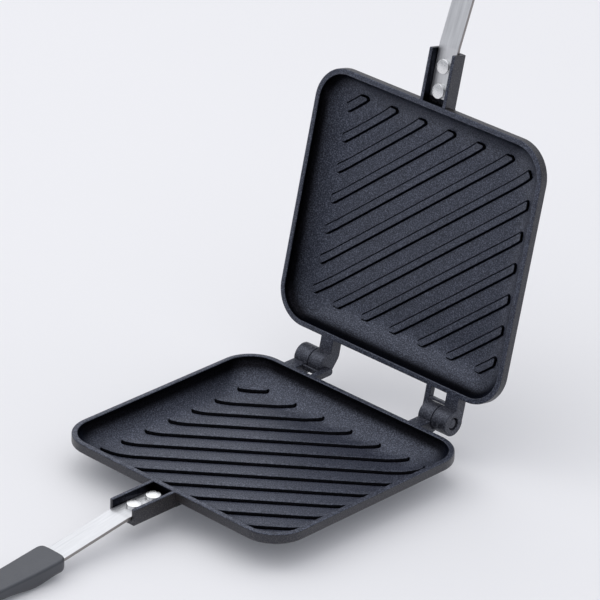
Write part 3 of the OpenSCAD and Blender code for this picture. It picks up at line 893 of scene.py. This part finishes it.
CASTING = mark_zone(make_casting())
TANG = make_tang()
RIVET = solid(make_rivet(), "rivet")
SCREWS = [make_screw(s) for s in SCREW_S]
for body, matrix in (("lower", LOWER), ("upper", UPPER)):
    put(CASTING, f"{body}_pan_casting", f"{body}_pan", body, M_PAN, matrix)
    put(TANG, f"{body}_strip", f"{body}_tang", body, M_STRIP, matrix, 50)
    for k, w in enumerate(("rear", "front")):
        put(RIVET.data, f"{body}_rivet_{w}_head", f"{body}_rivet_{w}", body, M_RIVET,
            matrix @ Matrix.Translation((0, RIVET_Y[k], 0)), 40)
    for k, w in enumerate(("front", "rear")):
        put(SCREWS[k], f"{body}_screw_{w}", f"{body}_grip_screw_{w}", body, M_SCREW, matrix, 40)
    put(make_grip(body == "lower"), f"{body}_grip_moulding", f"{body}_grip", body, M_GRIP, matrix, 40)
bpy.data.objects.remove(RIVET)
tilt = math.asin((PAN_H + PIVOT_Z - WIRE_R - 0.05) / BAIL_L)
put(make_bail(), "bail_wire", "bail", "bail", M_WIRE,
    Matrix.Translation((0, GRIP_Y - PIVOT_S, PAN_H + PIVOT_Z)) @ Matrix.Rotation(tilt, 4, "X"), 60)

# ---------------------------------------------------------------- floor
def floor_mat(nt, bs):
    geo = nt.nodes.new("ShaderNodeTexCoord")
    n1 = N(nt, "ShaderNodeTexNoise", i_Scale=3.0, i_Detail=2.0)
    n2 = N(nt, "ShaderNodeTexNoise", i_Scale=900.0, i_Detail=2.0)
    nt.links.new(geo.outputs["Object"], n1.inputs["Vector"])
    nt.links.new(geo.outputs["Object"], n2.inputs["Vector"])
    c = ramp(nt, n1.outputs["Fac"], [(0.3, (0.832, 0.822, 0.826)), (0.7, (0.844, 0.834, 0.838))])
    # painted shade: the sheet gets a little darker outside the picture, to the front and right, in place of the light
    # falling off there
    along = N(nt, "ShaderNodeVectorMath", operation="DOT_PRODUCT")
    nt.links.new(geo.outputs["Object"], along.inputs[0])
    along.inputs[1].default_value = (0.75, -0.66, 0.0)
    falloff_shade = ramp(nt, along.outputs["Value"], [(0.30, grey(1.0)), (1.0, grey(0.86))])
    c = mix(nt, 1.0, c, falloff_shade, "MULTIPLY")
    nt.links.new(mix(nt, 1.0, c, (0.880, 0.878, 0.868), "MULTIPLY"), bs.inputs["Base Color"])
    # a little light of its own keeps the shadows as pale as on a light table
    nt.links.new(mix(nt, 1.0, c, (0.92, 0.98, 1.12), "MULTIPLY"), bs.inputs["Emission Color"])
    bs.inputs["Emission Strength"].default_value = 0.11
    bs.inputs["Roughness"].default_value = 0.62
    b = N(nt, "ShaderNodeBump", i_Strength=0.1, i_Distance=0.00005)
    nt.links.new(n2.outputs["Fac"], b.inputs["Height"])
    nt.links.new(b.outputs["Normal"], bs.inputs["Normal"])
    bs.inputs["Specular IOR Level"].default_value = 0.25


def make_floor():
    bm = bmesh.new()
    n, s = 24, 8.0
    g = [[bm.verts.new(((i / n - 0.5) * 2 * s, (j / n - 0.5) * 2 * s, 0)) for i in range(n + 1)] for j in range(n + 1)]
    for j in range(n):
        for i in range(n):
            bm.faces.new((g[j][i], g[j][i + 1], g[j + 1][i + 1], g[j + 1][i]))
    me = bpy.data.meshes.new("floor")
    bm.to_mesh(me)
    bm.free()
    ob = bpy.data.objects.new("floor", me)
    bpy.context.scene.collection.objects.link(ob)
    me.materials.append(new_mat("floor_pale", floor_mat))
    ob.location.z = -0.0004


make_floor()


# ---------------------------------------------------------------- light
def area(name, loc, target, size, power, color=(1, 1, 1), shape="RECTANGLE", size_y=None, spread=180):
    l = bpy.data.lights.new(name, "AREA")
    l.shape = shape
    l.size = size
    if size_y:
        l.size_y = size_y
    l.energy = power
    l.color = color
    l.spread = math.radians(spread)
    o = bpy.data.objects.new(name, l)
    o.location = loc
    o.rotation_euler = (Vector(target) - Vector(loc)).to_track_quat("-Z", "Y").to_euler()
    bpy.context.scene.collection.objects.link(o)
    return o


w = bpy.data.worlds.new("studio")
bpy.context.scene.world = w
w.use_nodes = True
bg = w.node_tree.nodes["Background"]
# soft light from overhead, falling off towards the horizon
direction = w.node_tree.nodes.new("ShaderNodeTexCoord")
height = w.node_tree.nodes.new("ShaderNodeSeparateXYZ")
w.node_tree.links.new(direction.outputs["Generated"], height.inputs[0])
sky = ramp(w.node_tree, height.outputs["Z"], [(0.0, (0.43, 0.44, 0.475)), (0.40, (0.60, 0.615, 0.655)), (0.62, (0.96, 0.98, 1.04)),
                                              (1.0, (1.01, 1.03, 1.09))])
# a dark room to the front right, behind the camera
front = w.node_tree.nodes.new("ShaderNodeVectorMath")
front.operation = "DOT_PRODUCT"
w.node_tree.links.new(direction.outputs["Generated"], front.inputs[0])
front.inputs[1].default_value = (0.72, -0.66, -0.2)
sky = mix(w.node_tree, 1.0, sky, ramp(w.node_tree, front.outputs["Value"], [(0.68, grey(1.0)), (0.94, grey(0.3))]), "MULTIPLY")
w.node_tree.links.new(sky, bg.inputs[0])
bg.inputs[1].default_value = 1.0
area("key", (-1.4, -0.95, 1.82), (0, 0, 0.05), 1.3, 5.1, (1.0, 0.99, 0.97), size_y=1.3)
area("side", (-1.65, 1.30, 1.65), (0, -0.1, 0.03), 1.4, 2.6, (1.0, 0.99, 0.97), size_y=1.4)
area("top", (-0.2, 0.4, 2.3), (0, 0, 0.05), 1.5, 5.6, (1.0, 0.99, 0.97), size_y=1.5)
bpy.context.scene.view_settings.view_transform = "Standard"

# ---------------------------------------------------------------- camera
AZ, EL, ROLL, F_PX = 43.1934183, 26.2125729, 2.06557168, 4243.20998
DIST, TGT = 2.59874260, Vector((-0.378479081, 0.425099168, -0.205896798 + 0.018))


def make_camera():
    a, e, r = map(math.radians, (AZ, EL, ROLL))
    back = Vector((math.sin(a) * math.cos(e), -math.cos(a) * math.cos(e), math.sin(e)))
    xc = Vector((0, 0, 1)).cross(back).normalized()
    yc = back.cross(xc)
    xr = math.cos(r) * xc + math.sin(r) * yc
    yr = -math.sin(r) * xc + math.cos(r) * yc
    cam = bpy.data.cameras.new("camera")
    cam.sensor_fit = "HORIZONTAL"
    cam.sensor_width = 36.0
    cam.lens = F_PX * 36.0 / 600.0
    cam.clip_start, cam.clip_end = 0.05, 60.0
    ob = bpy.data.objects.new("camera", cam)
    ob.matrix_world = Matrix(((xr.x, yr.x, back.x, 0), (xr.y, yr.y, back.y, 0), (xr.z, yr.z, back.z, 0), (0, 0, 0, 1)))
    ob.location = TGT + back * DIST
    bpy.context.scene.collection.objects.link(ob)
    bpy.context.scene.camera = ob


make_camera()
